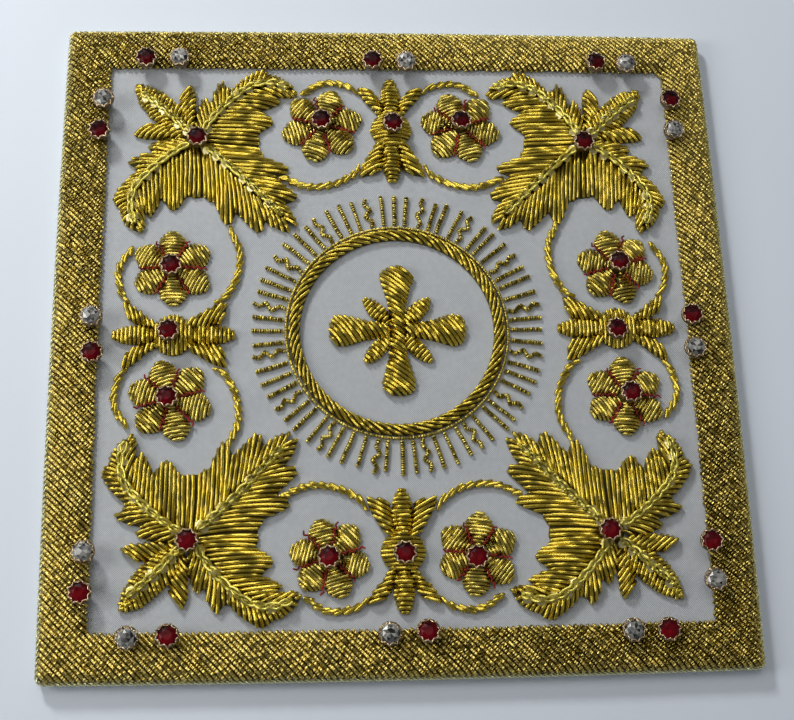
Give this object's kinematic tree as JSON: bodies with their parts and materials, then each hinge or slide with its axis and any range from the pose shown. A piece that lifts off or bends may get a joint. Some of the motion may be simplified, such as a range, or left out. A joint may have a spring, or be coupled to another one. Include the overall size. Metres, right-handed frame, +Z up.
{
  "type": "embroidered chalice pall",
  "caption": "Square stiffened altar linen with a padded gold border, gold purl leaves, flowers and a rayed ring, set with red and clear stones.",
  "frame": {"origin": "centre of the flat underside of the panel, at mid-width and mid-depth of the overall box", "axes": "+Z up out of the embroidered face, +Y to the top side of the design, +X to its right side"},
  "size_m": [0.1792, 0.1792, 0.0093],
  "materials": {
    "white_cloth": "fine plain-woven white cloth, stretched over stiff board",
    "gold_purl": "bright coiled gilt wire purl, yellow gold with dark gaps",
    "gold_border": "twisted gilt purl laid on the slant, duller and deeper gold",
    "red_stone": "faceted dark red glass in a gilt claw setting",
    "clear_stone": "faceted clear foiled glass in a gilt claw setting"
  },
  "bodies": {
    "root": {"panel": "white_cloth", "edge_cord": "gold_purl", "border_top": "gold_border", "border_left": "gold_border", "border_bottom": "gold_border", "border_right": "gold_border", "ring": "gold_purl", "sunburst": "gold_purl", "cross": "gold_purl", "leaf_top_left": "gold_purl", "stone_leaf_top_left": "red_stone", "leaf_top_right": "gold_purl", "stone_leaf_top_right": "red_stone", "leaf_bottom_left": "gold_purl", "stone_leaf_bottom_left": "red_stone", "leaf_bottom_right": "gold_purl", "stone_leaf_bottom_right": "red_stone", "spray_top": "gold_purl", "stone_bud_top": "red_stone", "spray_left": "gold_purl", "stone_bud_left": "red_stone", "spray_bottom": "gold_purl", "stone_bud_bottom": "red_stone", "spray_right": "gold_purl", "stone_bud_right": "red_stone", "flower_top_left": "gold_purl", "flower_top_right": "gold_purl", "flower_right_upper": "gold_purl", "flower_right_lower": "gold_purl", "flower_bottom_right": "gold_purl", "flower_bottom_left": "gold_purl", "flower_left_lower": "gold_purl", "flower_left_upper": "gold_purl", "stone_top_1_red": "red_stone", "stone_top_1_clear": "clear_stone", "stone_top_2_red": "red_stone", "stone_top_2_clear": "clear_stone", "stone_top_3_red": "red_stone", "stone_top_3_clear": "clear_stone", "stone_left_1_red": "red_stone", "stone_left_1_clear": "clear_stone", "stone_left_2_red": "red_stone", "stone_left_2_clear": "clear_stone", "stone_left_3_red": "red_stone", "stone_left_3_clear": "clear_stone", "stone_bottom_1_red": "red_stone", "stone_bottom_1_clear": "clear_stone", "stone_bottom_2_red": "red_stone", "stone_bottom_2_clear": "clear_stone", "stone_bottom_3_red": "red_stone", "stone_bottom_3_clear": "clear_stone", "stone_right_1_red": "red_stone", "stone_right_1_clear": "clear_stone", "stone_right_2_red": "red_stone", "stone_right_2_clear": "clear_stone", "stone_right_3_red": "red_stone", "stone_right_3_clear": "clear_stone"}
  },
  "joints": []
}
